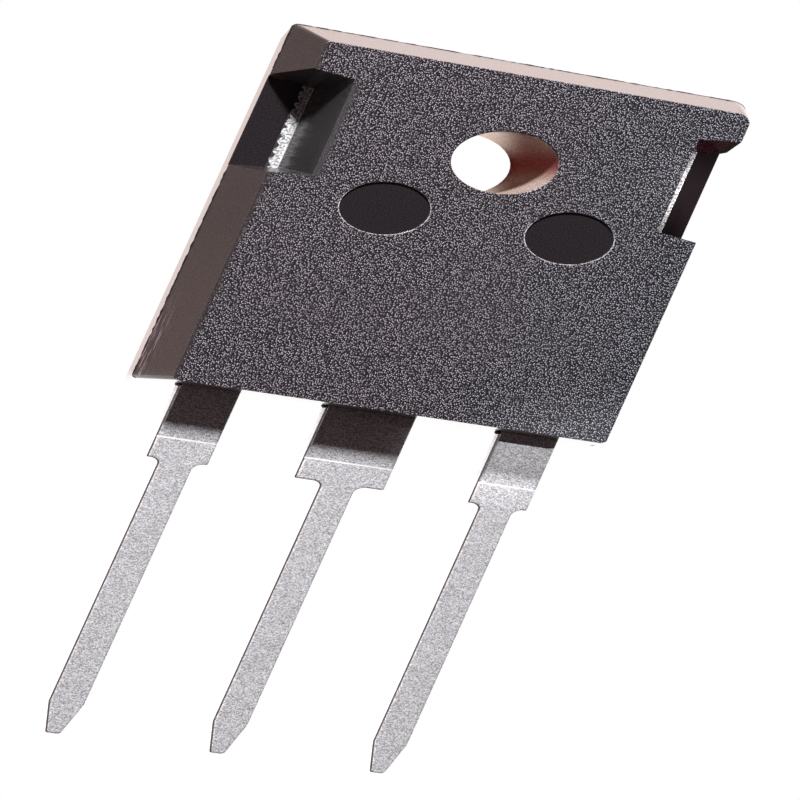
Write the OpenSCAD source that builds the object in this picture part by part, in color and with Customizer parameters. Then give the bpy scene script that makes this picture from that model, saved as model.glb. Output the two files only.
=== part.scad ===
// Power transistor in a three-lead, screw-down moulded package, lying on its metal back.
// Origin: axis of the mounting hole on the back plane. +Z out of the moulded face,
// +Y towards the hole end, leads towards -Y. Millimetres.

/* [Package] */
// Width over the parting line
body_w = 15.8; // [15.2:0.1:16.2]
// Height over the parting line, without the leads
body_h = 20.85; // [20.4:0.05:21.4]
// Thickness from the metal back to the moulded face
body_t = 5.0; // [4.7:0.05:5.3]
// Height of the parting line above the back
parting_z = 2.4; // [2.3:0.05:2.5]
// Slope of each side wall above the parting line
front_side_draft = 0.5; // [0.2:0.05:0.8]
// Slope of the wall at the hole end above the parting line
front_top_draft = 0.93; // [0.3:0.01:1.2]
// Slope of the wall at the lead end above the parting line
front_lead_draft = 0.02; // [0.01:0.01:0.3]
// Slope of the walls below the parting line
back_draft = 0.55; // [0.2:0.05:0.7]
// Radius along three of the corner edges
sharp_corner_r = 0.22; // [0.15:0.01:0.4]
// Radius along the corner edge at the hole end on the right
round_corner_r = 0.6; // [0.3:0.05:0.8]
// How much sharper the corner edges are below the parting line
back_corner_step = 0.05; // [0.02:0.01:0.1]

/* [Mounting hole] */
// Diameter of the screw hole
hole_d = 3.6; // [3.4:0.05:3.8]
// Distance from the hole end to the hole's axis
hole_from_top = 5.95; // [5.9:0.05:6.3]
// Bevel round the hole's front rim
hole_bevel = 0.06; // [0.02:0.01:0.15]

/* [Clip notches] */
// Depth of the notch into the moulded face
notch_depth = 1.45; // [1.1:0.01:1.6]
// Upper end of the notch above the hole's axis
notch_top = 3.12; // [2.6:0.02:3.4]
// Lower end of the notch below the hole's axis
notch_bottom = 2.4; // [2.0:0.02:2.8]
// Slope of the notch's inner wall from the face to its floor
notch_side_draft = 0.28; // [0.1:0.01:0.4]
// Slope of the notch's upper wall from the face to its floor
notch_top_draft = 0.62; // [0.2:0.02:0.8]
// Slope of the notch's lower wall from the face to its floor
notch_bottom_draft = 0.4; // [0.2:0.02:0.6]
// Flare of the notch's ends towards the outside, in degrees
notch_flare = 10; // [4:1:14]

/* [Ejector marks] */
// Diameter of the two round marks
mark_d = 3.0; // [2.6:0.02:3.2]
// Distance of each mark from the centre line
mark_x = 3.18; // [2.9:0.01:3.4]
// Distance of the marks below the hole's axis
mark_y = 3.64; // [3.4:0.01:3.9]
// Depth of the marks
mark_depth = 0.1; // [0.05:0.01:0.2]

/* [Heat spreader] */
// Width of the bare metal back
tab_w = 13.7; // [13.5:0.05:13.8]
// How far the metal was moulded off the centre line, to the right
tab_shift = 0.22; // [0:0.02:0.24]
// Thickness of the metal
tab_t = 2.0; // [1.9:0.05:2.1]
// Plastic left between the metal and the hole end
tab_from_top = 1.2; // [1.1:0.05:1.4]
// Plastic left between the metal and the lead end
tab_from_bottom = 3.05; // [2.95:0.05:3.3]
// Diameter of the metal's own hole, filled with moulding round the screw
tab_hole_d = 7.2; // [6.8:0.1:7.4]
// How far the locking lip stands out of the metal's edge
lip_out = 0.2; // [0.1:0.02:0.24]
// Thickness of the locking lip
lip_t = 0.6; // [0.4:0.05:0.8]

/* [Leads] */
// Distance between lead centres
lead_pitch = 5.44; // [5.4:0.01:5.48]
// Lead thickness
lead_t = 0.6; // [0.5:0.05:0.65]
// Lead length below the package
lead_len = 20.2; // [19.6:0.1:20.6]
// Length of the wide shoulder below the package
shoulder_len = 4.25; // [4.1:0.05:4.5]
// Width of the outer leads' shoulders
outer_shoulder_w = 2.0; // [1.8:0.05:2.2]
// Width of the middle lead's shoulder
middle_shoulder_w = 3.0; // [2.8:0.05:3.2]
// Width of the narrow part of each lead
lead_w = 1.12; // [1.0:0.02:1.3]
// Length of the pointed end
tip_len = 1.77; // [1.5:0.01:2.1]
// Width of the pointed end
tip_w = 0.44; // [0.3:0.02:0.5]
// Radius of the pointed end's two corners
tip_r = 0.12; // [0.05:0.01:0.14]
// Radius of the fillet on the left of the shoulder's end
left_fillet = 0.3; // [0.2:0.05:0.4]
// Radius of the fillet on the right of the shoulder's end
right_fillet = 0.42; // [0.2:0.05:0.43]
// Distance of the coined line from the shoulder's end
coin_up = 1.2; // [1.0:0.05:1.5]

/* [Chip and wires] */
// Chip width
die_w = 6.2; // [4.0:0.1:6.6]
// Chip length
die_l = 5.8; // [4.0:0.1:6.0]
// Chip thickness
die_t = 0.25; // [0.15:0.01:0.3]
// Solder thickness
solder_t = 0.06; // [0.04:0.01:0.1]
// Diameter of the thick bond wires
source_wire_d = 0.4; // [0.3:0.02:0.5]
// Diameter of the thin bond wire
gate_wire_d = 0.2; // [0.15:0.01:0.25]
// Number of thick bond wires
source_wire_count = 3; // [2:1:4]
// Radius of each wire's loop against the distance that it spans
wire_loop = 0.56; // [0.54:0.01:0.6]

/* [Hidden] */
$fn = 96;
past = 1;                                  // how far a cutter runs past what it cuts
half_w = body_w / 2;
top_y = hole_from_top;
bottom_y = top_y - body_h;
face_half_w = half_w - front_side_draft;
tab_top_y = top_y - tab_from_top;
tab_bottom_y = bottom_y + tab_from_bottom;
tab_h = tab_top_y - tab_bottom_y;
tab_x = tab_shift - tab_w / 2;
lead_back = parting_z;
lead_front = lead_back + lead_t;
shoulder_y = bottom_y - shoulder_len;
tip_y = bottom_y - lead_len;
tip_slope = atan2(tip_len, (lead_w - tip_w) / 2);
tip_cut = tip_r * tan(tip_slope / 2);      // from the tip's corner to where its rounding starts
notch_x = face_half_w - notch_depth;
lip_z = 0.8;                               // height of the locking lip above the back
corner_lap = 0.004;                        // how far the corner roundings lap over the walls
coin_d = 0.05;                             // depth of the coined line
coin_w = 0.14;                             // width of the coined line
post_cover = 0.7;                          // plastic between the bonding posts and the lead end
post_len = 1.6;                            // length of the bonding posts
post_y = bottom_y + post_cover;
inner_lead_y = post_y + post_len;
post_w = 3.6;                              // width of the bonding posts
post_x = 4.95;                             // centre of the bonding posts
lock_hole_d = 0.5;                         // hole in each post that the moulding fills
bond_in = 0.7;                             // from the posts' outer end to where the wires meet them
bond_y = post_y + bond_in;
trim_gap = 0.3;                            // how far past the posts' inner ends the wires are trimmed
post_edge_y = inner_lead_y + trim_gap;
joggle_len = 0.9;                          // length over which the middle lead drops to the metal back
joggle_y = tab_bottom_y - joggle_len;
joggle_lap = 0.1;                          // how far the joggle runs into the metal back
lip_gap = 0.4;                             // plastic between the notches and the locking lip
die_up = 4.45;                             // centre of the chip above the metal's lower edge
die_y = tab_bottom_y + die_up;
die_top = tab_t + solder_t + die_t;
pad_in = 0.5;                              // from the chip's lower edge to where the wires meet it
wire_span_y = die_y - die_l / 2 + pad_in - bond_y;
wire_sweep = 220;                          // arc that each wire is cut from, in degrees
gate_post_out = 4.25;                      // where the thin wire meets its post, left of the centre line
gate_pad_out = 2.6;                        // where it meets the chip
source_post_x = 3.75;                      // where the first thick wire meets its post
source_post_step = 0.75;                   // distance between the thick wires on the post
source_pad_x = 0.4;                        // where the first thick wire meets the chip
source_pad_step = 0.9;                     // distance between the thick wires on the chip

// Block with drafted sides between two levels, its four corner edges rounded, sharper by step
module drafted(z0, z1, inset0, inset1, top0, top1, bottom0, bottom1, step) {
    difference() {
        intersection() {
            translate([0, top_y + past, 0]) rotate([90, 0, 0]) linear_extrude(body_h + 2 * past)
                polygon([[inset0 - half_w, z0], [half_w - inset0, z0],
                         [half_w - inset1, z1], [inset1 - half_w, z1]]);
            translate([-half_w - past, 0, 0]) rotate([90, 0, 90]) linear_extrude(body_w + 2 * past)
                polygon([[bottom_y + bottom0, z0], [top_y - top0, z0],
                         [top_y - top1, z1], [bottom_y + bottom1, z1]]);
        }
        for (sx = [0, 1]) mirror([sx, 0, 0]) {
            hole_end_r = sx == 1 ? sharp_corner_r : round_corner_r;
            corner_waste([half_w - inset0, top_y - top0, z0],
                         [half_w - inset1, top_y - top1, z1], hole_end_r - step);
            mirror([0, 1, 0])
                corner_waste([half_w - inset0, -bottom_y - bottom0, z0],
                             [half_w - inset1, -bottom_y - bottom1, z1], sharp_corner_r - step);
        }
    }
}

// What the rounding takes off the sloping edge from p0 to p1, where a right wall meets an upper wall
module corner_waste(p0, p1, r) {
    way = (p1 - p0) / norm(p1 - p0);
    turn = atan2(way[1], way[0]);
    tilt = acos(way[2]);
    across = [cos(tilt) * cos(turn), cos(tilt) * sin(turn), -sin(tilt)];
    level = [-sin(turn), cos(turn), 0];
    // directions in which the two walls run from the edge
    upper = cross(way, [0, way[2], -way[1]]);
    side = cross([way[2], 0, -way[0]], way);
    upper_turn = atan2(upper * level, upper * across);
    side_turn = atan2(side * level, side * across);
    toward = upper / norm(upper) + side / norm(side);
    middle = atan2(toward * level, toward * across);
    half_gap = acos(upper * side / norm(upper) / norm(side)) / 2;
    reach = r / tan(half_gap);
    translate(p0) rotate([0, tilt, turn]) translate([0, 0, -past]) linear_extrude(norm(p1 - p0) + 2 * past)
        difference() {
            polygon([-past * [cos(middle), sin(middle)], reach * [cos(upper_turn), sin(upper_turn)],
                     r / sin(half_gap) * [cos(middle), sin(middle)], reach * [cos(side_turn), sin(side_turn)]]);
            translate(r / sin(half_gap) * [cos(middle), sin(middle)]) circle(r + corner_lap);
        }
}

// One end wall of the right notch's cutter: sloped with height, turned outwards by the flare
module notch_end(y_face, y_floor, side) {
    far_y = -side * 2 * (notch_top + notch_bottom);
    translate([notch_x, 0, 0]) rotate([0, 0, side * notch_flare]) translate([-past, 0, 0])
        rotate([90, 0, 90]) linear_extrude(2 * notch_depth + 3 * past)
            polygon([[y_floor, tab_t], [y_face + (y_face - y_floor) * past / (body_t - tab_t), body_t + past],
                     [far_y, body_t + past], [far_y, tab_t]]);
}

// Cutter of the right clip notch, down to the level of the heat spreader's front
module right_notch() {
    depth = body_t - tab_t;
    over = notch_side_draft * past / depth;
    intersection() {
        translate([0, notch_top + 3 * past, 0]) rotate([90, 0, 0])
            linear_extrude(notch_top + notch_bottom + 6 * past)
                polygon([[notch_x + notch_side_draft, tab_t],
                         [half_w + past, tab_t], [half_w + past, body_t + past],
                         [notch_x - over, body_t + past]]);
        notch_end(notch_top, notch_top - notch_top_draft, 1);
        notch_end(-notch_bottom, -notch_bottom + notch_bottom_draft, -1);
    }
}

// Screw hole with its bevelled front rim
module screw_hole() {
    translate([0, 0, -past]) cylinder(h = body_t + 2 * past, d = hole_d);
    translate([0, 0, body_t - hole_bevel])
        cylinder(h = 2 * hole_bevel, r1 = hole_d / 2, r2 = hole_d / 2 + 2 * hole_bevel);
}

// Outside of the moulding, before what it holds is taken out of it
module moulding() {
    difference() {
        union() {
            drafted(parting_z, body_t, 0, front_side_draft, 0, front_top_draft, 0, front_lead_draft, 0);
            drafted(0, parting_z, back_draft, 0, back_draft, 0, front_lead_draft, 0, back_corner_step);
        }
        screw_hole();
        for (sx = [0, 1]) mirror([sx, 0, 0]) right_notch();
        for (sx = [-1, 1]) translate([sx * mark_x, -mark_y, body_t - mark_depth])
            cylinder(h = mark_depth + past, d = mark_d);
    }
}

// Moulded package with a cavity for each piece that it holds
module package_body() {
    color("#4c4a50") difference() {
        moulding();
        heat_spreader();
        gate_lead();
        source_lead();
        die_solder();
        transistor_die();
        gate_bond_wire();
        source_bond_wires();
    }
}

// Fillet between a lead's side and the end of its shoulder, on the right
module shoulder_fillet(r) {
    translate([lead_w / 2, shoulder_y - r]) difference() {
        square(r);
        translate([r, 0]) circle(r);
    }
}

// Outline of a lead below the package, on its own centre line, from the height upper_y down
module lead_outline(shoulder_w, upper_y) {
    translate([-shoulder_w / 2, shoulder_y]) square([shoulder_w, upper_y - shoulder_y]);
    polygon([[-lead_w / 2, shoulder_y], [-lead_w / 2, tip_y + tip_len],
             [-tip_w / 2 - tip_cut * cos(tip_slope), tip_y + tip_cut * sin(tip_slope)],
             [tip_cut - tip_w / 2, tip_y], [tip_w / 2 - tip_cut, tip_y],
             [tip_w / 2 + tip_cut * cos(tip_slope), tip_y + tip_cut * sin(tip_slope)],
             [lead_w / 2, tip_y + tip_len], [lead_w / 2, shoulder_y]]);
    for (sx = [-1, 1]) translate([sx * (tip_w / 2 - tip_cut), tip_y + tip_r]) circle(tip_r);
    shoulder_fillet(right_fillet);
    mirror([1, 0]) shoulder_fillet(left_fillet);
}

// Fine line coined across a lead's shoulder
module coined_line(shoulder_w) {
    translate([-shoulder_w / 2 - past, shoulder_y + coin_up, lead_front]) rotate([90, 0, 90])
        linear_extrude(shoulder_w + 2 * past)
            polygon([[-coin_w / 2, 0], [0, -coin_d], [coin_w / 2, 0], [coin_w / 2, past], [-coin_w / 2, past]]);
}

// Outer lead with its bonding post inside the package, side -1 on the left and 1 on the right
module outer_lead(side) {
    difference() {
        union() {
            translate([side * lead_pitch, 0, lead_back]) linear_extrude(lead_t)
                lead_outline(outer_shoulder_w, inner_lead_y);
            translate([side * post_x - post_w / 2, post_y, lead_back])
                cube([post_w, inner_lead_y - post_y, lead_t]);
        }
        translate([side * lead_pitch, 0, 0]) coined_line(outer_shoulder_w);
        translate([side * (post_x + post_w / 2 - lock_hole_d), bond_y, lead_back - past])
            cylinder(h = lead_t + 2 * past, d = lock_hole_d);
    }
}

module gate_lead() { color("#bfbdc0") outer_lead(-1); }

module source_lead() { color("#bfbdc0") outer_lead(1); }

// Thick metal back with its locking lip, and the middle lead that rises out of its lower edge
module heat_spreader() {
    color("#c6c4c6") union() {
        difference() {
            union() {
                translate([tab_x, tab_bottom_y, 0]) cube([tab_w, tab_h, tab_t]);
                locking_lip(notch_top + lip_gap, tab_top_y);
                locking_lip(tab_bottom_y, -notch_bottom - lip_gap);
            }
            translate([0, 0, -past]) cylinder(h = tab_t + 2 * past, d = tab_hole_d);
        }
        middle_lead();
    }
}

// Lip round both sides of the metal between two heights, held in the moulding
module locking_lip(y0, y1) {
    translate([tab_x - lip_out, y0, lip_z]) cube([tab_w + 2 * lip_out, y1 - y0, lip_t]);
}

// Middle lead: flat outside the package, then down to the metal's lower edge
module middle_lead() {
    difference() {
        translate([0, 0, lead_back]) linear_extrude(lead_t) lead_outline(middle_shoulder_w, joggle_y);
        coined_line(middle_shoulder_w);
    }
    translate([-middle_shoulder_w / 2, 0, 0]) rotate([90, 0, 90]) linear_extrude(middle_shoulder_w)
        polygon([[joggle_y, lead_back], [tab_bottom_y, tab_t - lead_t],
                 [tab_bottom_y + joggle_lap, tab_t - lead_t], [tab_bottom_y + joggle_lap, tab_t],
                 [joggle_y, lead_front]]);
}

module die_solder() {
    color("#9a9ca0") translate([-die_w / 2, die_y - die_l / 2, tab_t]) cube([die_w, die_l, solder_t]);
}

module transistor_die() {
    color("#3f4652") translate([-die_w / 2, die_y - die_l / 2, tab_t + solder_t]) cube([die_w, die_l, die_t]);
}

// Bond wire looping from a lead's post up and down on to the chip, trimmed flush to both
module bond_wire(x_lead, x_chip, d) {
    run = norm([x_chip - x_lead, wire_span_y]);
    turn = atan2(wire_span_y, x_chip - x_lead);
    rise = die_top - lead_front;
    slope = atan2(rise, run);
    chord = norm([run, rise]);
    loop_r = wire_loop * chord;
    sink = sqrt(loop_r * loop_r - chord * chord / 4);
    difference() {
        translate([x_lead, bond_y, lead_front]) rotate([0, 0, turn]) rotate([0, -slope, 0])
            translate([chord / 2, 0, -sink]) rotate([90, 0, 0]) rotate([0, 0, 90 - wire_sweep / 2])
                rotate_extrude(angle = wire_sweep, $fn = 64) translate([loop_r, 0]) circle(d / 2, $fn = 24);
        translate([-half_w, bottom_y, -past]) cube([body_w, post_edge_y - bottom_y, lead_front + past]);
        translate([-half_w, bottom_y, -past]) cube([body_w, body_h, die_top + past]);
    }
}

module gate_bond_wire() { color("#cfcfd2") bond_wire(-gate_post_out, -gate_pad_out, gate_wire_d); }

module source_bond_wires() {
    color("#cfcfd2") for (i = [0 : source_wire_count - 1])
        bond_wire(source_post_x + source_post_step * i, source_pad_x + source_pad_step * i, source_wire_d);
}

package_body();
heat_spreader();
gate_lead();
source_lead();
die_solder();
transistor_die();
gate_bond_wire();
source_bond_wires();
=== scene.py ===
import math

import bpy
from mathutils import Matrix, Vector


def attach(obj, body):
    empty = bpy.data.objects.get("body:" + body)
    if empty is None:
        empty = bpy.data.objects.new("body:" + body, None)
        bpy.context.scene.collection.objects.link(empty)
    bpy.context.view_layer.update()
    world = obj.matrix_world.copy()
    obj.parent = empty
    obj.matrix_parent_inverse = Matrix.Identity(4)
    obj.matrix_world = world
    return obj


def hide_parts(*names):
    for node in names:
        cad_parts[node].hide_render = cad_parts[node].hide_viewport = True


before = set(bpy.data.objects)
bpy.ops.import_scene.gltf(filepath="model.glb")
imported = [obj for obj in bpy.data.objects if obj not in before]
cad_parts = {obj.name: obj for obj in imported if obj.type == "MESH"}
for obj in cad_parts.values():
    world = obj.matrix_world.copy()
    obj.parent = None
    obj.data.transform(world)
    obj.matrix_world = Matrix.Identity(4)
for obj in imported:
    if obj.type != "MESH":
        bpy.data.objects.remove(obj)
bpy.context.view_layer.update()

# places, sizes and pairs of limits are in millimetres where nothing else is said
mm = 0.001

photoView = {
    # the photograph is squeezed to about half its height, so the camera is sheared to squeeze the same way
    "azimuth": -74.57,          # where the camera stands, degrees
    "elevation": 72.08,
    "roll": 13.94,
    "squeeze": 0.5264,          # height of the picture against its true height
    "lean": -0.2675,            # how far the picture's up direction leans along the line of sight
    "aim": (0.853, -13.935, 2.5),
    "distance": 0.8445,         # metres
    "lens": 633.8,
    "sensor": 36,
    "clip": (0.01, 10),         # metres
}


def setCamera(v):
    azimuth, elevation, roll = (math.radians(v[k]) for k in ("azimuth", "elevation", "roll"))
    toCamera = Vector((math.cos(elevation) * math.sin(azimuth),
                       -math.cos(elevation) * math.cos(azimuth),
                       math.sin(elevation)))
    level = Vector((0, 1, 0)).cross(toCamera).normalized()
    upright = toCamera.cross(level)
    right = math.cos(roll) * level + math.sin(roll) * upright
    up = math.cos(roll) * upright - math.sin(roll) * level
    right = v["squeeze"] * right + math.sqrt(1 - v["squeeze"] ** 2) * toCamera
    up = math.sqrt(1 - v["lean"] ** 2) * up + v["lean"] * toCamera
    bpy.ops.object.empty_add(location=(0, 0, 0))
    rig = bpy.context.object
    rig.name = "cameraRig"
    bpy.ops.object.camera_add(location=(0, 0, 0))
    camera = bpy.context.object
    camera.name = "photoCamera"
    camera.parent = rig
    sheared = Matrix((right, up, toCamera)).transposed().to_4x4()
    sheared.translation = Vector(v["aim"]) * mm + toCamera * v["distance"]
    camera.matrix_parent_inverse = sheared
    camera.location = (0, 0, 0)
    camera.rotation_euler = (0, 0, 0)
    camera.data.lens = v["lens"]
    camera.data.sensor_width = v["sensor"]
    camera.data.clip_start, camera.data.clip_end = v["clip"]
    bpy.context.scene.camera = camera
    print("camera set")


setCamera(photoView)


def newMaterial(name):
    mat = bpy.data.materials.new(name)
    mat.use_nodes = True
    return mat, mat.node_tree, mat.node_tree.nodes["Principled BSDF"]


def feed(tree, value, socket):
    # value is a number, a colour or another node's output
    if isinstance(value, (int, float)):
        socket.default_value = value
    elif isinstance(value, tuple):
        socket.default_value = (*value, 1)
    else:
        tree.links.new(value, socket)


def between(tree, value, limits, unit=1.0, smooth=True):
    # 0 on the near side of the first limit, 1 past the second, which may also be the lower one
    node = tree.nodes.new("ShaderNodeMapRange")
    if smooth:
        node.interpolation_type = "SMOOTHSTEP"
    node.inputs["From Min"].default_value = limits[0] * unit
    node.inputs["From Max"].default_value = limits[1] * unit
    feed(tree, value, node.inputs["Value"])
    return node.outputs["Result"]


def band(tree, value, limits, smooth=True):
    return between(tree, value, limits, mm, smooth)


def combine(tree, operation, first, second=0.0):
    node = tree.nodes.new("ShaderNodeMath")
    node.operation = operation
    feed(tree, first, node.inputs[0])
    feed(tree, second, node.inputs[1])
    return node.outputs[0]


def times(tree, *values):
    result = values[0]
    for value in values[1:]:
        result = combine(tree, "MULTIPLY", result, value)
    return result


def plus(tree, first, second):
    return combine(tree, "ADD", first, second)


def minus(tree, first, second):
    return combine(tree, "SUBTRACT", first, second)


def either(tree, first, second):
    return combine(tree, "MAXIMUM", first, second)


def positive(tree, value):
    return combine(tree, "ABSOLUTE", value)


def mixColor(tree, mask, first, second):
    node = tree.nodes.new("ShaderNodeMix")
    node.data_type = "RGBA"
    feed(tree, mask, node.inputs[0])
    feed(tree, first, node.inputs[6])
    feed(tree, second, node.inputs[7])
    return node.outputs[2]


def mixValue(tree, mask, first, second):
    node = tree.nodes.new("ShaderNodeMix")
    feed(tree, mask, node.inputs[0])
    feed(tree, first, node.inputs[2])
    feed(tree, second, node.inputs[3])
    return node.outputs[0]


def objectPlace(tree):
    coord = tree.nodes.new("ShaderNodeTexCoord")
    split = tree.nodes.new("ShaderNodeSeparateXYZ")
    tree.links.new(coord.outputs["Object"], split.inputs[0])
    return coord.outputs["Object"], split.outputs["X"], split.outputs["Y"], split.outputs["Z"]


def surfaceNormal(tree):
    geometry = tree.nodes.new("ShaderNodeNewGeometry")
    split = tree.nodes.new("ShaderNodeSeparateXYZ")
    tree.links.new(geometry.outputs["Normal"], split.inputs[0])
    return split.outputs["Y"], split.outputs["Z"]


def fromPoint(tree, x, y, point=(0, 0)):
    # distance from an upright line through the point
    flat = tree.nodes.new("ShaderNodeCombineXYZ")
    tree.links.new(x, flat.inputs[0])
    tree.links.new(y, flat.inputs[1])
    node = tree.nodes.new("ShaderNodeVectorMath")
    node.operation = "DISTANCE"
    tree.links.new(flat.outputs[0], node.inputs[0])
    node.inputs[1].default_value = (point[0] * mm, point[1] * mm, 0)
    return node.outputs["Value"]


def scaled(tree, place, scale):
    node = tree.nodes.new("ShaderNodeMapping")
    node.inputs["Scale"].default_value = scale
    tree.links.new(place, node.inputs["Vector"])
    return node.outputs[0]


def noise(tree, place, size, detail=1.0):
    node = tree.nodes.new("ShaderNodeTexNoise")
    node.inputs["Scale"].default_value = 1 / (size * mm)
    node.inputs["Detail"].default_value = detail
    tree.links.new(place, node.inputs["Vector"])
    return node.outputs["Fac"]


def unevenness(tree, place, size, depth, detail=1.0):
    # noise about zero, as a length
    return times(tree, minus(tree, noise(tree, place, size, detail), 0.5), depth * mm)


stageLook = {
    "floorSize": 4.0,           # metres
    "floorZ": -0.05,
    "worldColor": (1, 0.70, 0.72),
    "worldStrength": 0.07,
    # painted light and shade: the floor glows for all but camera rays, bright where the key light would fall
    # on it and dark where the part's shadow would fall; the light that the floor throws back at the walls of
    # the part, and where along X or Y each sets in
    "farLeftGlow": (0.45, 0.36, 0.35),
    "farLeftLowGlow": (0.57, 0.43, 0.42),
    "farLeftLowY": (-4, -10),
    "nearLeftGlow": (1.45, 1.26, 1.20),
    "nearLeftX": (-9.5, -8.8),
    "rightShadowGlow": (0.05, 0.03, 0.03),
    "rightX": (-6, 7),
    "holeEndGlow": (2.3, 1.95, 1.85),
    "holeEndX": (-7.5, -7.0),
    "holeEndY": (5.0, 5.6),
    "leadEndGlow": (2.2, 2.15, 2.15),
    "leadEndY": (-14.2, -15.0),
    "besideLeadsGlow": (1.9, 1.85, 1.85),
    "besideLeadsY": (-16.4, -17.4),
    # under the screw hole the glow is a painted shade, with painted pale light at the hole's upper and lower
    # side, but not on the right
    "underHoleReach": (2.4, 2.0),
    "underHoleShade": (0.05, 0.0, 0.0),
    "underHoleLight": (1.60, 1.28, 1.12),
    "underHoleUpperY": (0.5, 1.5),
    "underHoleLowerY": (-0.3, -1.0),
    "underHoleX": (1.8, 0.8),
}


def makeFloorGlow(tree, s):
    x, y = objectPlace(tree)[1:3]
    glow = mixColor(tree, band(tree, y, s["farLeftLowY"]), s["farLeftGlow"], s["farLeftLowGlow"])
    glow = mixColor(tree, band(tree, x, s["nearLeftX"]), glow, s["nearLeftGlow"])
    # painted shadow of the part on the floor to the right
    glow = mixColor(tree, band(tree, x, s["rightX"]), glow, s["rightShadowGlow"])
    atHoleEnd = times(tree, band(tree, y, s["holeEndY"]), band(tree, x, s["holeEndX"]))
    glow = mixColor(tree, atHoleEnd, glow, s["holeEndGlow"])
    glow = mixColor(tree, band(tree, y, s["leadEndY"]), glow, s["leadEndGlow"])
    glow = mixColor(tree, band(tree, y, s["besideLeadsY"]), glow, s["besideLeadsGlow"])
    pale = either(tree, band(tree, y, s["underHoleUpperY"]), band(tree, y, s["underHoleLowerY"]))
    pale = times(tree, pale, band(tree, x, s["underHoleX"]))
    under = mixColor(tree, pale, s["underHoleShade"], s["underHoleLight"])
    inHole = band(tree, fromPoint(tree, x, y), s["underHoleReach"])
    return mixColor(tree, inHole, glow, under)


def makeStage(s):
    bpy.ops.mesh.primitive_plane_add(size=s["floorSize"], location=(0, 0, 0))
    floor = bpy.context.object
    floor.name = "paleFloor"
    floor.location.z = s["floorZ"] * mm
    mat = bpy.data.materials.new("paleFloor")
    mat.use_nodes = True
    tree = mat.node_tree
    tree.nodes.clear()
    # the camera sees plain white, and the part is lit by the glow, a painted light and shade of the floor
    thrown = tree.nodes.new("ShaderNodeEmission")
    feed(tree, makeFloorGlow(tree, s), thrown.inputs["Color"])
    seen = tree.nodes.new("ShaderNodeEmission")
    feed(tree, (1, 1, 1), seen.inputs["Color"])
    path = tree.nodes.new("ShaderNodeLightPath")
    pick = tree.nodes.new("ShaderNodeMixShader")
    feed(tree, path.outputs["Is Camera Ray"], pick.inputs[0])
    feed(tree, thrown.outputs[0], pick.inputs[1])
    feed(tree, seen.outputs[0], pick.inputs[2])
    out = tree.nodes.new("ShaderNodeOutputMaterial")
    feed(tree, pick.outputs[0], out.inputs["Surface"])
    floor.data.materials.append(mat)
    world = bpy.data.worlds.new("dimRoom")
    world.use_nodes = True
    back = world.node_tree.nodes["Background"]
    back.inputs["Color"].default_value = (*s["worldColor"], 1)
    back.inputs["Strength"].default_value = s["worldStrength"]
    bpy.context.scene.world = world
    bpy.context.scene.view_settings.view_transform = "Standard"
    print("stage set")


makeStage(stageLook)

keyLight = {
    "direction": (-0.44, 1.0, 0.83),
    "distance": 0.35,           # metres
    "size": (0.028, 0.066),     # metres
    "power": 2.65,              # watts
    "color": (1.0, 0.985, 1.0),
}

spotRig = {
    # name: point aimed at, direction, width in degrees, power in watts, colour
    "leadSpot": ((5.4, -16.0, 3.0), (0.5, 0.3, 1.0), 1.2, 2.1, (1.0, 1.0, 1.0)),
    "rightNotchSpot": ((6.2, 0.3, 2.0), (1.0, 0.25, 0.7), 1.0, 13.0, (1.0, 0.97, 1.0)),
    "leftNotchSpot": ((-6.2, -1.2, 2.0), (-0.44, 1.0, 0.83), 0.5, 0.5, (1.0, 1.0, 1.0)),
}
spotDistance = 0.3              # metres
spotRadius = 1.5                # of the lamp itself


def aimLamp(kind, name, aim, toLamp, power, color):
    bpy.ops.object.light_add(type=kind, location=aim + toLamp)
    lamp = bpy.context.object
    lamp.name = name
    lamp.data.energy = power
    lamp.data.color = color
    lamp.rotation_euler = toLamp.to_track_quat("Z", "Y").to_euler()
    return lamp.data


def makeKeyLight(k):
    toLamp = Vector(k["direction"]).normalized() * k["distance"]
    lamp = aimLamp("AREA", "keyLight", Vector((0, 0, 0)), toLamp, k["power"], k["color"])
    lamp.shape = "ELLIPSE"
    lamp.size, lamp.size_y = k["size"]


def makeSpot(name, aim, direction, width, power, color):
    toLamp = Vector(direction).normalized() * spotDistance
    lamp = aimLamp("SPOT", name, Vector(aim) * mm, toLamp, power, color)
    lamp.spot_size = math.radians(width)
    lamp.spot_blend = 1.0
    lamp.shadow_soft_size = spotRadius * mm


makeKeyLight(keyLight)
for spotName, spec in spotRig.items():
    makeSpot(spotName, *spec)
print("lights set")

facetGrain = {
    # plated or cut surface: tiny facets of uneven brightness over a little broad unevenness
    "broadScale": 0.12,         # of the broad unevenness, against the facets' own
    "broadDetail": 2.0,
    "broadDepth": 0.025,        # as a share of the facets' brightness
}


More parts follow.
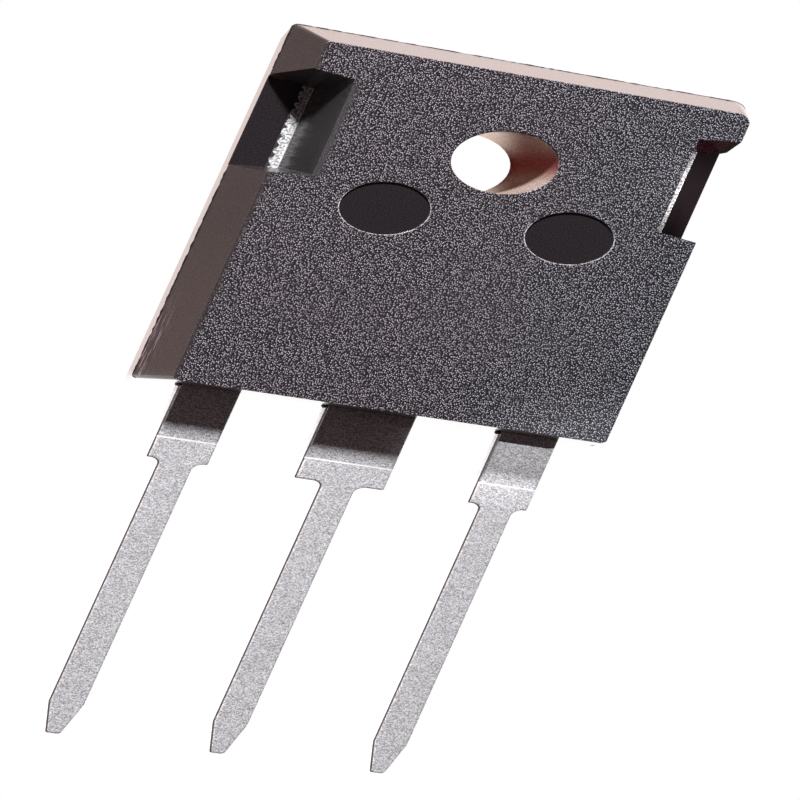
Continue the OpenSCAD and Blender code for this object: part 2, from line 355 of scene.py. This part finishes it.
def makeGrainGroup(f):
    group = bpy.data.node_groups.new("fineGrain", "ShaderNodeTree")
    sockets = (("Place", "INPUT", "NodeSocketVector"), ("Scale", "INPUT", "NodeSocketFloat"),
               ("Low", "INPUT", "NodeSocketFloat"), ("High", "INPUT", "NodeSocketFloat"),
               ("Grain", "OUTPUT", "NodeSocketFloat"), ("Height", "OUTPUT", "NodeSocketFloat"))
    for name, direction, kind in sockets:
        group.interface.new_socket(name=name, in_out=direction, socket_type=kind)
    given = group.nodes.new("NodeGroupInput")
    result = group.nodes.new("NodeGroupOutput")
    cells = group.nodes.new("ShaderNodeTexVoronoi")
    feed(group, given.outputs["Place"], cells.inputs["Vector"])
    feed(group, given.outputs["Scale"], cells.inputs["Scale"])
    fine = group.nodes.new("ShaderNodeSeparateColor")
    feed(group, cells.outputs["Color"], fine.inputs["Color"])
    broad = group.nodes.new("ShaderNodeTexNoise")
    broad.inputs["Detail"].default_value = f["broadDetail"]
    feed(group, given.outputs["Place"], broad.inputs["Vector"])
    feed(group, times(group, given.outputs["Scale"], f["broadScale"]), broad.inputs["Scale"])
    uneven = times(group, minus(group, broad.outputs["Fac"], 0.5), f["broadDepth"])
    height = plus(group, fine.outputs["Red"], uneven)
    sharp = group.nodes.new("ShaderNodeMapRange")
    feed(group, height, sharp.inputs["Value"])
    feed(group, given.outputs["Low"], sharp.inputs["From Min"])
    feed(group, given.outputs["High"], sharp.inputs["From Max"])
    feed(group, sharp.outputs["Result"], result.inputs["Grain"])
    feed(group, height, result.inputs["Height"])
    return group


grainGroup = makeGrainGroup(facetGrain)


def addGrain(tree, place, size, limits):
    node = tree.nodes.new("ShaderNodeGroup")
    node.node_tree = grainGroup
    node.inputs["Scale"].default_value = 1 / (size * mm)
    node.inputs["Low"].default_value = limits[0]
    node.inputs["High"].default_value = limits[1]
    tree.links.new(place, node.inputs["Place"])
    return node.outputs["Grain"], node.outputs["Height"]


def addBump(tree, height, shader, distance):
    bump = tree.nodes.new("ShaderNodeBump")
    bump.inputs["Strength"].default_value = 1.0
    bump.inputs["Distance"].default_value = distance * mm
    tree.links.new(height, bump.inputs["Height"])
    tree.links.new(bump.outputs[0], shader.inputs["Normal"])


mouldingLook = {
    # the face: evenly spread light dots, each of its own brightness, on near black
    "faceDark": (0.001, 0.0, 0.001),
    "faceLight": (0.64, 0.56, 0.66),
    # painted light: towards the right the dots are painted bluer, as a bluish lamp there would light them
    "faceDotsLitFromRight": (0.59, 0.60, 0.70),
    "faceLitFromRightX": (-1, 7),
    "dotSpacing": 0.068,
    "dotStretch": (1.0, 0.65, 1.0),
    "dotFade": (0.43, 0.08),            # a dot's rim and core, as shares of the spacing
    "dotLeast": 0.05,                   # added to every dot's brightness
    "grainDepth": 0.012,
    "faceRoughness": 0.6,
    # the grain fades unevenly into the smooth walls, and out at the left edge and beside the left notch
    "faceZ": (4.86, 4.985),
    "raggedSize": 0.08,
    "raggedDepth": 0.10,
    "raggedBorder": 2.5,                # how much more uneven it is at the borders
    "sideBorderX": (-7.12, -7.40),
    "sideBorderColor": (0.046, 0.038, 0.038),
    "notchBorderX": (-5.40, -5.95),
    "notchBorderLowY": (-2.9, -2.3),
    "notchBorderHighY": (3.5, 2.6),
    "notchBorderColor": (0.060, 0.060, 0.062),
    "borderZ": (4.94, 4.96),
    # the ejector marks, and a painted highlight along the lower part of their rim
    "markPlace": (3.18, -3.64),         # centre of the right mark
    "markReach": (1.51, 1.55),          # distances from the centre
    "rimInner": (1.5, 1.515),
    "rimOuter": (1.55, 1.53),
    "rimY": (-2.64, -3.44),
    "rimZ": (4.93, 4.96),
    "rimBreakSize": 0.12,
    "rimBreaks": (0.30, 0.55),
    "rimHighlight": (0.60, 0.58, 0.60),
    # the smooth walls, told from flat floors by how far they face up; the one resin is painted redder and
    # lighter on walls than on flat floors, as painted bounce light
    "flatNormal": (0.85, 0.97),
    "wallColor": (0.034, 0.024, 0.023),
    "wallRoughness": 0.22,
    "flatColor": (0.018, 0.015, 0.017),
    # painted light: the outer walls below the parting line are painted lighter and redder, as the floor
    # lights them
    "backWallLitColor": (0.085, 0.045, 0.040),
    "backWallZ": (2.41, 2.39),
    "peelSize": 0.09,                   # faint orange peel
    "peelDepth": 0.06,                  # as a share of the grain's depth
    "speckleSize": 0.05,
    "speckle": 1.2,                     # how much the walls vary in brightness
    "speckleFade": (0.3, 0.7),
    # where the outer walls are
    "sidesX": (7.25, 7.3),
    "holeEndY": (4.9, 5.0),
    "leadEndY": (-14.1, -14.2),
    # the notches
    "notchColor": (0.030, 0.029, 0.030),
    # painted reflection: the wall that faces the leads, on the right, is painted red
    "redNotchReflection": (0.10, 0.018, 0.034),      # of the wall that faces the leads, on the right
    "redReflectionNormal": (-0.5, -0.8),
    "rightNotchX": (5.0, 5.5),
    # painted shade: the floor of the right notch is painted darker
    "rightFloorShade": (0.009, 0.005, 0.006),
    "rightFloorZ": (4.0, 3.5),
    # faint streaks along the left side, near its lead end
    "streakSize": 0.06,
    "streakStretch": (1.0, 0.05, 1.0),
    "streakX": (-7.2, -7.4),
    "streakY": (-9.5, -12.5),
    "streakZ": (3.5, 2.7),
    "streakLight": (0.54, 0.62),
    "streakColor": (0.24, 0.16, 0.18),
    "streakDark": (0.44, 0.38),
    "streakDarkColor": (0.006, 0.003, 0.005),
    # the screw hole: its wall is painted pale as painted light, with painted shade reddest along one line of
    # its wall
    "holeReach": (1.92, 1.86),
    "holeLitColor": (0.48, 0.38, 0.33),
    "holeShadeColor": (0.33, 0.11, 0.10),
    "holeShadeY": 0.5,
    "holeShadeFade": (0.1, 1.3),
    # the dark line where the halves of the mould met, which stops short of the lead end
    "partingZ": 2.4,
    "partingWidth": (0.055, 0.045),
    "partingY": (-14.6, -14.4),
    "partingJag": 0.10,
    "partingJagSize": 0.12,
    "partingColor": (0.006, 0.004, 0.005),
    "partingRoughness": 0.8,
    # painted highlight along the lower end of the left notch, where the face breaks off
    "edgeCorner": (-5.95, 5.0),         # X and Z from which the edge's slopes are counted
    "edgeSlopes": (0.176, 0.133),       # its fall along X, and with depth
    "edgeInner": (2.37, 2.38),
    "edgeOuter": (2.425, 2.405),
    "edgeX": (-5.9, -7.2),
    "edgeZ": (2.40, 2.45),
    "edgeHighlight": (0.40, 0.40, 0.40),
    # painted highlight: a light line where the inner wall of a notch stands on the metal
    "footInnerX": (5.80, 5.85),
    "footOuterX": (6.50, 6.45),
    "footMiddleY": 0.35,
    "footReachY": (2.9, 2.85),
    "footLowZ": (1.90, 1.95),
    "footHighZ": (2.07, 2.05),
    "footHighlight": (0.60, 0.58, 0.57),
}


def makeFaceDots(tree, place, m):
    dots = tree.nodes.new("ShaderNodeTexVoronoi")
    dots.voronoi_dimensions = "2D"
    dots.inputs["Scale"].default_value = 1 / (m["dotSpacing"] * mm)
    feed(tree, scaled(tree, place, m["dotStretch"]), dots.inputs["Vector"])
    height = between(tree, dots.outputs["Distance"], m["dotFade"])
    own = tree.nodes.new("ShaderNodeSeparateColor")
    feed(tree, dots.outputs["Color"], own.inputs["Color"])
    return times(tree, height, plus(tree, own.outputs["Red"], m["dotLeast"])), height


def makeStreaks(tree, place, x, y, z, smooth, m):
    lines = noise(tree, scaled(tree, place, m["streakStretch"]), m["streakSize"])
    nearLine = times(tree, band(tree, x, m["streakX"]), band(tree, y, m["streakY"]),
                     band(tree, z, m["streakZ"]))
    light = times(tree, between(tree, lines, m["streakLight"]), nearLine)
    dark = times(tree, between(tree, lines, m["streakDark"]), nearLine)
    return mixColor(tree, dark, mixColor(tree, light, smooth, m["streakColor"]), m["streakDarkColor"])


def findEdgeHighlight(tree, x, y, z, m):
    cornerX, cornerZ = m["edgeCorner"]
    flare = times(tree, minus(tree, x, cornerX * mm), m["edgeSlopes"][0])
    slope = times(tree, minus(tree, cornerZ * mm, z), m["edgeSlopes"][1])
    below = minus(tree, plus(tree, flare, slope), y)
    return times(tree, band(tree, below, m["edgeInner"]), band(tree, below, m["edgeOuter"]),
                 band(tree, x, m["edgeX"]), band(tree, z, m["edgeZ"]))


def findFootHighlight(tree, sideways, y, z, m):
    offMiddle = positive(tree, minus(tree, y, m["footMiddleY"] * mm))
    return times(tree, band(tree, sideways, m["footInnerX"]), band(tree, sideways, m["footOuterX"]),
                 band(tree, offMiddle, m["footReachY"]),
                 band(tree, z, m["footLowZ"]), band(tree, z, m["footHighZ"]))


def makeMoulding(m):
    mat, tree, shader = newMaterial("mouldedEpoxy")
    place, x, y, z = objectPlace(tree)
    sideways = positive(tree, x)
    normalY, normalZ = surfaceNormal(tree)
    # the face, without the marks and the worn borders
    grain, height = makeFaceDots(tree, place, m)
    ragged = unevenness(tree, place, m["raggedSize"], m["raggedDepth"])
    markDistance = fromPoint(tree, sideways, y, m["markPlace"])
    inward = plus(tree, x, times(tree, ragged, m["raggedBorder"]))
    sideBorder = band(tree, inward, m["sideBorderX"])
    notchBorder = times(tree, band(tree, y, m["notchBorderLowY"]), band(tree, y, m["notchBorderHighY"]),
                        band(tree, inward, m["notchBorderX"]))
    onFace = times(tree, band(tree, plus(tree, z, ragged), m["faceZ"]),
                   band(tree, markDistance, m["markReach"]),
                   minus(tree, 1.0, either(tree, notchBorder, sideBorder)))
    # painted light: the dots turn bluer towards the right
    dotColor = mixColor(tree, band(tree, x, m["faceLitFromRightX"], smooth=False),
                        m["faceLight"], m["faceDotsLitFromRight"])
    faceColor = mixColor(tree, grain, m["faceDark"], dotColor)
    # flat floors, marks and borders
    isFlat = between(tree, normalZ, m["flatNormal"])
    onRight = band(tree, x, m["rightNotchX"])
    # painted shade in the floor of the right notch
    onRightFloor = times(tree, onRight, band(tree, z, m["rightFloorZ"]))
    floorColor = mixColor(tree, onRightFloor, m["flatColor"], m["rightFloorShade"])
    # painted light: walls take the redder, lighter tone and flat floors the darker plain one
    smooth = mixColor(tree, isFlat, m["wallColor"], floorColor)
    onTop = band(tree, z, m["borderZ"])
    smooth = mixColor(tree, times(tree, onTop, sideBorder), smooth, m["sideBorderColor"])
    smooth = mixColor(tree, times(tree, onTop, notchBorder), smooth, m["notchBorderColor"])
    # upright walls: the outer ones, and those of the notches
    beyondEnds = either(tree, band(tree, y, m["holeEndY"]), band(tree, y, m["leadEndY"]))
    outline = times(tree, either(tree, band(tree, sideways, m["sidesX"]), beyondEnds),
                    minus(tree, 1.0, isFlat))
    # painted red reflection on the right notch's wall that faces the leads
    redReflectingWall = times(tree, onRight, between(tree, normalY, m["redReflectionNormal"]))
    notchTone = mixColor(tree, redReflectingWall, m["notchColor"], m["redNotchReflection"])
    smooth = mixColor(tree, either(tree, outline, isFlat), notchTone, smooth)
    # painted light from the floor on the outer walls below the parting line
    smooth = mixColor(tree, times(tree, outline, band(tree, z, m["backWallZ"])), smooth, m["backWallLitColor"])
    smooth = makeStreaks(tree, place, x, y, z, smooth, m)
    # the screw hole, with painted light and painted shade on its wall
    fromShadeLine = positive(tree, minus(tree, y, m["holeShadeY"] * mm))
    holeTone = mixColor(tree, band(tree, fromShadeLine, m["holeShadeFade"]), m["holeShadeColor"], m["holeLitColor"])
    smooth = mixColor(tree, band(tree, fromPoint(tree, x, y), m["holeReach"]), smooth, holeTone)
    # the parting line
    jag = unevenness(tree, place, m["partingJagSize"], m["partingJag"], detail=3.0)
    offLine = positive(tree, plus(tree, minus(tree, z, m["partingZ"] * mm), jag))
    onLine = times(tree, outline, band(tree, offLine, m["partingWidth"]), band(tree, y, m["partingY"]))
    smooth = mixColor(tree, onLine, smooth, m["partingColor"])
    # speckle on all that is smooth
    spread = between(tree, noise(tree, place, m["speckleSize"]), m["speckleFade"], smooth=False)
    speckle = tree.nodes.new("ShaderNodeHueSaturation")
    feed(tree, plus(tree, times(tree, spread, m["speckle"]), 1.0 - m["speckle"] / 2), speckle.inputs["Value"])
    feed(tree, smooth, speckle.inputs["Color"])
    color = mixColor(tree, onFace, speckle.outputs["Color"], faceColor)
    # painted highlights on the marks' rims, the left notch's edge and the feet of the notch walls
    broken = between(tree, noise(tree, place, m["rimBreakSize"], detail=2.0), m["rimBreaks"])
    onRim = times(tree, band(tree, markDistance, m["rimInner"]), band(tree, markDistance, m["rimOuter"]),
                  band(tree, y, m["rimY"]), band(tree, z, m["rimZ"]))
    # painted highlight along the lower part of the marks' rim, broken in places
    color = mixColor(tree, times(tree, onRim, broken), color, m["rimHighlight"])
    # painted highlight along the left notch's lower edge
    color = mixColor(tree, times(tree, findEdgeHighlight(tree, x, y, z, m), broken), color, m["edgeHighlight"])
    # painted highlight where the notch walls stand on the metal
    color = mixColor(tree, findFootHighlight(tree, sideways, y, z, m), color, m["footHighlight"])
    feed(tree, color, shader.inputs["Base Color"])
    # gloss and relief
    rough = mixValue(tree, onFace, m["wallRoughness"], m["faceRoughness"])
    feed(tree, mixValue(tree, onLine, rough, m["partingRoughness"]), shader.inputs["Roughness"])
    peel = times(tree, noise(tree, place, m["peelSize"], detail=2.0), m["peelDepth"])
    addBump(tree, mixValue(tree, onFace, peel, height), shader, m["grainDepth"])
    return mat


tinLook = {
    "lightTin": (0.88, 0.89, 0.92),
    "darkTin": (0.32, 0.31, 0.32),
    "grainSize": 0.040,
    "grainLimits": (0.05, 0.95),
    "grainDepth": 0.006,
    "metallic": 0.5,
    "roughness": 0.65,
    # the cut sides of the leads, with a painted dark reflection along their upper edge
    "sideTin": (0.90, 0.90, 0.90),
    "sideNormal": (0.6, 0.4),
    "sideY": (-14.6, -14.8),
    "sideDarkReflection": (0.040, 0.018, 0.018),
    "sideLineLow": (2.78, 2.81),
    "sideLineHigh": (3.01, 2.96),
    # painted highlight: a fine bright line across the shoulders
    "coinY": -17.95,
    "coinWidth": (0.05, 0.03),
    "coinZ": (2.90, 2.93),
    "coinHighlight": (1.0, 1.0, 1.0),
}

bleedLook = {
    # resin that ran over the metal's front along its left edge before the mould closed on it
    "middleX": 0.22,            # middle and half width of the metal's front, as the resin shows it
    "halfWidth": 6.85,
    "frontZ": (1.965, 1.97),
    "reach": (0.092, 0.068),    # from the metal's edge
    "leftX": (1.0, 0.0),
    "scallop": 0.13,            # depth and length of the resin's round lobes
    "lobe": 0.55,
    "lobeMiddle": 0.6,          # height at which the reach cuts the lobes' curve
    "wander": 4.0,              # how unevenly the lobes follow each other, radians, and over what length
    "wanderSize": 0.5,
    "color": (0.014, 0.010, 0.011),
    # bare metal in the notches
    "stripZ": (2.3, 2.2),
    "stripDark": (0.16, 0.16, 0.17),
    "stripLight": (0.80, 0.80, 0.80),
    "blotchSize": 0.10,
    "blotchFade": (0.38, 0.62),
}


def addResinBleed(b, tree, place, x, y, z, color, metallic):
    fromEdge = minus(tree, b["halfWidth"] * mm, positive(tree, minus(tree, x, b["middleX"] * mm)))
    wander = times(tree, noise(tree, place, b["wanderSize"]), b["wander"])
    turns = plus(tree, times(tree, y, math.pi / (b["lobe"] * mm)), wander)
    lobes = positive(tree, combine(tree, "SINE", turns))
    lobes = times(tree, minus(tree, lobes, b["lobeMiddle"]), b["scallop"] * mm)
    bleed = times(tree, band(tree, plus(tree, fromEdge, lobes), b["reach"]),
                  band(tree, x, b["leftX"]), band(tree, z, b["frontZ"]))
    strip = band(tree, z, b["stripZ"])
    blotch = between(tree, noise(tree, place, b["blotchSize"], detail=2.0), b["blotchFade"])
    bare = mixColor(tree, strip, color, mixColor(tree, blotch, b["stripDark"], b["stripLight"]))
    return (mixColor(tree, bleed, bare, b["color"]),
            times(tree, metallic, minus(tree, 1.0, either(tree, bleed, strip))))


def makeTin(t, name, bleed=None):
    mat, tree, shader = newMaterial(name)
    place, x, y, z = objectPlace(tree)
    grain, height = addGrain(tree, place, t["grainSize"], t["grainLimits"])
    color = mixColor(tree, grain, t["darkTin"], t["lightTin"])
    normalZ = surfaceNormal(tree)[1]
    isSide = times(tree, between(tree, normalZ, t["sideNormal"]), band(tree, y, t["sideY"]))
    onLine = times(tree, isSide, band(tree, z, t["sideLineLow"]), band(tree, z, t["sideLineHigh"]))
    color = mixColor(tree, isSide, color, t["sideTin"])
    # painted dark reflection along the upper edge of the cut sides
    color = mixColor(tree, onLine, color, t["sideDarkReflection"])
    offCoin = positive(tree, minus(tree, y, t["coinY"] * mm))
    onCoin = times(tree, band(tree, offCoin, t["coinWidth"]), band(tree, z, t["coinZ"]))
    # painted highlight across the shoulders
    color = mixColor(tree, onCoin, color, t["coinHighlight"])
    metallic = t["metallic"]
    if bleed:
        color, metallic = addResinBleed(bleed, tree, place, x, y, z, color, metallic)
    feed(tree, color, shader.inputs["Base Color"])
    feed(tree, metallic, shader.inputs["Metallic"])
    shader.inputs["Roughness"].default_value = t["roughness"]
    addBump(tree, height, shader, t["grainDepth"])
    return mat


mouldedEpoxy = makeMoulding(mouldingLook)
leadTin = makeTin(tinLook, "mattTinLeads")
spreaderTin = makeTin(tinLook, "mattTinSpreader", bleedLook)
print("materials made")

innerLook = {
    # name of the CAD node: (dark colour, light colour, grain size, metallic, roughness)
    "die_solder": ((0.22, 0.22, 0.23), (0.42, 0.42, 0.44), 0.12, 1.0, 0.45),
    "transistor_die": ((0.035, 0.04, 0.055), (0.10, 0.11, 0.14), 0.30, 0.5, 0.18),
    "gate_bond_wire": ((0.55, 0.55, 0.57), (0.85, 0.85, 0.87), 0.08, 1.0, 0.32),
    "source_bond_wires": ((0.52, 0.52, 0.54), (0.82, 0.82, 0.84), 0.14, 1.0, 0.35),
}
innerGrainLimits = (0.1, 0.9)
innerGrainDepth = 0.1           # as a share of the grain size


def finishInside(node, dark, light, grainSize, metallic, roughness):
    mat, tree, shader = newMaterial(node + "Finish")
    grain, height = addGrain(tree, objectPlace(tree)[0], grainSize, innerGrainLimits)
    feed(tree, mixColor(tree, grain, dark, light), shader.inputs["Base Color"])
    shader.inputs["Metallic"].default_value = metallic
    shader.inputs["Roughness"].default_value = roughness
    addBump(tree, height, shader, grainSize * innerGrainDepth)
    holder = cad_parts[node]
    if holder.material_slots:
        holder.material_slots[0].material = mat
    else:
        holder.data.materials.append(mat)


for innerNode, look in innerLook.items():
    finishInside(innerNode, *look)
print("inside finished")

dressing = {
    # how the mesh of every visible node is cleaned and shaded
    "weld": 0.0005,
    "flatAngle": 1.5,           # degrees
    "smoothAngle": 35,          # degrees
    "bevelSegments": 3,
    "faceWeight": 100,
}

edgeLook = {
    # the moulding's softened edges: the outer ones, and those of the notches
    "radius": 0.05,
    "leastAngle": 25,           # degrees
    "faceZ": 4.85,              # all edges above this are outer ones, but for the hole's
    "holeRadius": 2.0,
    "partingZ": 2.4,
    "partingReach": 0.05,       # an edge that starts nearer the parting line than this
    "partingTilt": 0.02,        # and rises less than this keeps its sharp corner
    "sharpReach": 0.004,        # edges that stay this near the parting line are shaded sharp
    "metalFront": 2.1,
    "backSides": (7.3, 5.35, -14.3),    # outside these, the edges below the metal's front are outer ones
    "notchX": 5.9,
    "notchY": (-2.7, 3.3),
    "leadsX": 6.8,              # at the lead end, the edges nearer the middle than this stay sharp
}

leadEdgeLook = {
    "radius": 0.07,
    "leastAngle": 75,           # degrees
}


def faceNormals(mesh):
    found = {}
    for face in mesh.polygons:
        for key in face.edge_keys:
            found.setdefault(key, []).append(face.normal)
    return found


def isOuterEdge(ends, e):
    low = min(p.z for p in ends)
    high = max(p.z for p in ends)
    if all(Vector((p.x, p.y)).length < e["holeRadius"] for p in ends):
        return False
    if low > e["faceZ"]:
        return True
    if high - low < e["partingTilt"] and abs(low - e["partingZ"]) < e["partingReach"]:
        return False
    side, holeEnd, leadEnd = e["backSides"]
    outside = all(abs(p.x) > side or p.y > holeEnd or p.y < leadEnd for p in ends)
    if high < e["metalFront"]:
        return outside
    notchLow, notchHigh = e["notchY"]
    inNotch = all(abs(p.x) > e["notchX"] and notchLow < p.y < notchHigh for p in ends)
    atLeads = all(p.y < leadEnd and abs(p.x) < e["leadsX"] for p in ends)
    return (outside or inNotch) and not atLeads


def weighOuterEdges(piece, e):
    normals = faceNormals(piece.data)
    weights = piece.data.attributes.new("bevel_weight_edge", "FLOAT", "EDGE")
    for edge in piece.data.edges:
        around = normals.get(tuple(sorted(edge.vertices)), [])
        if len(around) == 2 and around[0].angle(around[1], 0) > math.radians(e["leastAngle"]):
            ends = [piece.data.vertices[i].co / mm for i in edge.vertices]
            weights.data[edge.index].value = 1.0 if isOuterEdge(ends, e) else 0.0


def sharpenPartingLine(piece, e):
    bpy.ops.object.mode_set(mode="OBJECT")
    bpy.context.tool_settings.mesh_select_mode = (False, True, False)
    for edge in piece.data.edges:
        heights = [piece.data.vertices[i].co.z / mm for i in edge.vertices]
        edge.select = all(abs(height - e["partingZ"]) < e["sharpReach"] for height in heights)
    bpy.ops.object.mode_set(mode="EDIT")
    bpy.ops.mesh.mark_sharp()
    bpy.ops.mesh.select_all(action="DESELECT")
    bpy.ops.object.mode_set(mode="OBJECT")


def applyModifier(piece, name):
    bpy.context.view_layer.objects.active = piece
    bpy.ops.object.modifier_apply(modifier=name)


def softenEdges(piece, isMoulding):
    bevel = piece.modifiers.new("softEdge", "BEVEL")
    bevel.segments = dressing["bevelSegments"]
    look = edgeLook if isMoulding else leadEdgeLook
    bevel.width = look["radius"] * mm
    bevel.use_clamp_overlap = isMoulding
    if isMoulding:
        weighOuterEdges(piece, edgeLook)
        bevel.limit_method = "WEIGHT"
    else:
        bevel.limit_method = "ANGLE"
        bevel.angle_limit = math.radians(look["leastAngle"])
    applyModifier(piece, "softEdge")


def dressNode(node, material, slot, d):
    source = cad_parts[node]
    bpy.ops.object.select_all(action="DESELECT")
    piece = source.copy()
    piece.data = source.data.copy()
    for key in list(piece.keys()):
        del piece[key]
    piece.parent = None
    piece.name = node + "_finished"
    bpy.context.collection.objects.link(piece)
    piece.select_set(True)
    bpy.context.view_layer.objects.active = piece
    bpy.ops.object.mode_set(mode="EDIT")
    bpy.ops.mesh.select_all(action="SELECT")
    bpy.ops.mesh.remove_doubles(threshold=d["weld"] * mm)
    bpy.ops.mesh.dissolve_limited(angle_limit=math.radians(d["flatAngle"]))
    bpy.ops.mesh.select_all(action="DESELECT")
    bpy.ops.object.mode_set(mode="OBJECT")
    isMoulding = node == "package_body"
    softenEdges(piece, isMoulding)
    bpy.ops.object.shade_smooth_by_angle(angle=math.radians(d["smoothAngle"]))
    if isMoulding:
        sharpenPartingLine(piece, edgeLook)
    even = piece.modifiers.new("evenShading", "WEIGHTED_NORMAL")
    even.keep_sharp = True
    even.weight = d["faceWeight"]
    applyModifier(piece, "evenShading")
    piece.data.materials.clear()
    piece.data.materials.append(material)
    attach(piece, "root")
    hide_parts(node)


dressedNodes = {
    # name of the CAD node: (material, material slot)
    "package_body": (mouldedEpoxy, "moulding"),
    "heat_spreader": (spreaderTin, "tinned_copper"),
    "gate_lead": (leadTin, "tinned_copper"),
    "source_lead": (leadTin, "tinned_copper"),
}
for dressedNode, look in dressedNodes.items():
    dressNode(dressedNode, *look, dressing)
print("visible pieces dressed")

partingFlash = {
    # ragged skin of resin squeezed out between the two halves of the mould
    "width": 15.8,              # of the package at the parting line
    "height": 20.85,
    "holeEnd": 5.95,
    "z": 2.385,
    "thickness": 0.03,
    "sharpRadius": 0.22,
    "roundRadius": 0.6,         # at the hole end on the right
    "cornerSegments": 6,
    "longest": 5,               # straight edges longer than this are cut into short lengths
    "step": 0.10,               # about the length of these along the sides
    "ragged": 0.02,
    "depth": 0.036,             # how far it stands across the outline
    "sides": 7.3,
    "notch": (-2.62, 3.25),     # the clip notches cut it away between these heights
    "leadEndReach": 0.01,
    "seed": 4,
}


def selectVerts(piece, test):
    bpy.context.tool_settings.mesh_select_mode = (True, False, False)
    for vertex in piece.data.vertices:
        vertex.select = test(vertex.co / mm)
    for part in (*piece.data.edges, *piece.data.polygons):
        part.select = all(piece.data.vertices[i].select for i in part.vertices)


def editVerts(piece, test, operator, **options):
    bpy.ops.object.mode_set(mode="OBJECT")
    selectVerts(piece, test)
    bpy.ops.object.mode_set(mode="EDIT")
    operator(**options)


def makePartingFlash(f, material):
    leadEnd = f["holeEnd"] - f["height"]
    middleY = f["holeEnd"] - f["height"] / 2
    bpy.ops.object.select_all(action="DESELECT")
    bpy.ops.mesh.primitive_plane_add(size=1, location=(0, middleY * mm, f["z"] * mm))
    piece = bpy.context.object
    piece.name = "parting_flash"
    piece.scale = (f["width"] * mm, f["height"] * mm, 1)
    bpy.ops.object.transform_apply(location=True, rotation=True, scale=True)
    for isRound in (True, False):
        radius = f["roundRadius"] if isRound else f["sharpRadius"]
        editVerts(piece, lambda p: (p.x > 0 and p.y > 0) == isRound, bpy.ops.mesh.bevel,
                  offset=radius * mm, affect="VERTICES", segments=f["cornerSegments"], clamp_overlap=False)
    # only the outline is kept, cut into short lengths
    bpy.ops.mesh.select_all(action="SELECT")
    bpy.ops.mesh.delete(type="ONLY_FACE")
    bpy.ops.object.mode_set(mode="OBJECT")
    bpy.context.tool_settings.mesh_select_mode = (False, True, False)
    for edge in piece.data.edges:
        ends = [piece.data.vertices[i].co / mm for i in edge.vertices]
        edge.select = (ends[0] - ends[1]).length > f["longest"]
    bpy.ops.object.mode_set(mode="EDIT")
    bpy.ops.mesh.subdivide(number_cuts=int(f["height"] / f["step"]))
    notchLow, notchHigh = f["notch"]
    editVerts(piece, lambda p: abs(p.x) > f["sides"] and notchLow < p.y < notchHigh,
              bpy.ops.mesh.delete, type="VERT")
    editVerts(piece, lambda p: p.y < leadEnd + f["leadEndReach"], bpy.ops.mesh.delete, type="VERT")
    bpy.ops.mesh.select_all(action="SELECT")
    bpy.ops.mesh.extrude_edges_move(TRANSFORM_OT_translate={"value": (0, 0, f["thickness"] * mm)})
    bpy.ops.mesh.select_all(action="SELECT")
    bpy.ops.mesh.normals_make_consistent(inside=False)
    bpy.ops.transform.vertex_random(offset=f["ragged"] * mm, uniform=0.0, normal=1.0, seed=f["seed"])
    bpy.ops.object.mode_set(mode="OBJECT")
    skin = piece.modifiers.new("thickness", "SOLIDIFY")
    skin.thickness = f["depth"] * mm
    skin.offset = 0.0
    applyModifier(piece, "thickness")
    bpy.ops.object.mode_set(mode="EDIT")
    bpy.ops.mesh.select_all(action="SELECT")
    bpy.ops.mesh.normals_make_consistent(inside=False)
    bpy.ops.object.mode_set(mode="OBJECT")
    piece.data.materials.append(material)
    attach(piece, "root")


makePartingFlash(partingFlash, mouldedEpoxy)
print("parting flash made")

resinNubs = {
    # small beads of resin in the corner between each lead's left edge and the package
    "places": ((-6.50, -14.92, 2.90), (-1.60, -14.94, 2.92), (4.34, -14.96, 2.92)),
    "radius": 0.13,
    "subdivisions": 3,
    "stretch": (0.8, 0.9, 1.3),
    "uneven": 0.03,
    "smoothing": (0.5, 2),      # factor and number of rounds
    "dark": (0.012, 0.007, 0.006),
    "light": (0.05, 0.025, 0.022),
    "grainSize": 0.05,
    "grainLimits": (0.3, 0.9),
    "grainDepth": 0.02,
    "roughness": 0.75,
}


def makeNubResin(n):
    mat, tree, shader = newMaterial("dullResin")
    grain, height = addGrain(tree, objectPlace(tree)[0], n["grainSize"], n["grainLimits"])
    feed(tree, mixColor(tree, grain, n["dark"], n["light"]), shader.inputs["Base Color"])
    shader.inputs["Roughness"].default_value = n["roughness"]
    addBump(tree, height, shader, n["grainDepth"])
    return mat


def makeResinNub(index, place, n, material):
    bpy.ops.object.select_all(action="DESELECT")
    bpy.ops.mesh.primitive_ico_sphere_add(subdivisions=n["subdivisions"], radius=n["radius"] * mm,
                                          location=Vector(place) * mm)
    piece = bpy.context.object
    piece.name = "resin_nub_" + str(index + 1)
    factor, rounds = n["smoothing"]
    bpy.ops.object.mode_set(mode="EDIT")
    bpy.ops.mesh.select_all(action="SELECT")
    bpy.ops.transform.resize(value=n["stretch"])
    bpy.ops.transform.vertex_random(offset=n["uneven"] * mm, uniform=0.0, normal=1.0, seed=index)
    bpy.ops.mesh.vertices_smooth(factor=factor, repeat=rounds)
    bpy.ops.object.mode_set(mode="OBJECT")
    bpy.ops.object.shade_smooth()
    bpy.ops.object.transform_apply(location=True, rotation=True, scale=True)
    piece.data.materials.append(material)
    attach(piece, "root")


nubResin = makeNubResin(resinNubs)
for nubIndex, nubPlace in enumerate(resinNubs["places"]):
    makeResinNub(nubIndex, nubPlace, resinNubs, nubResin)
print("resin nubs made")
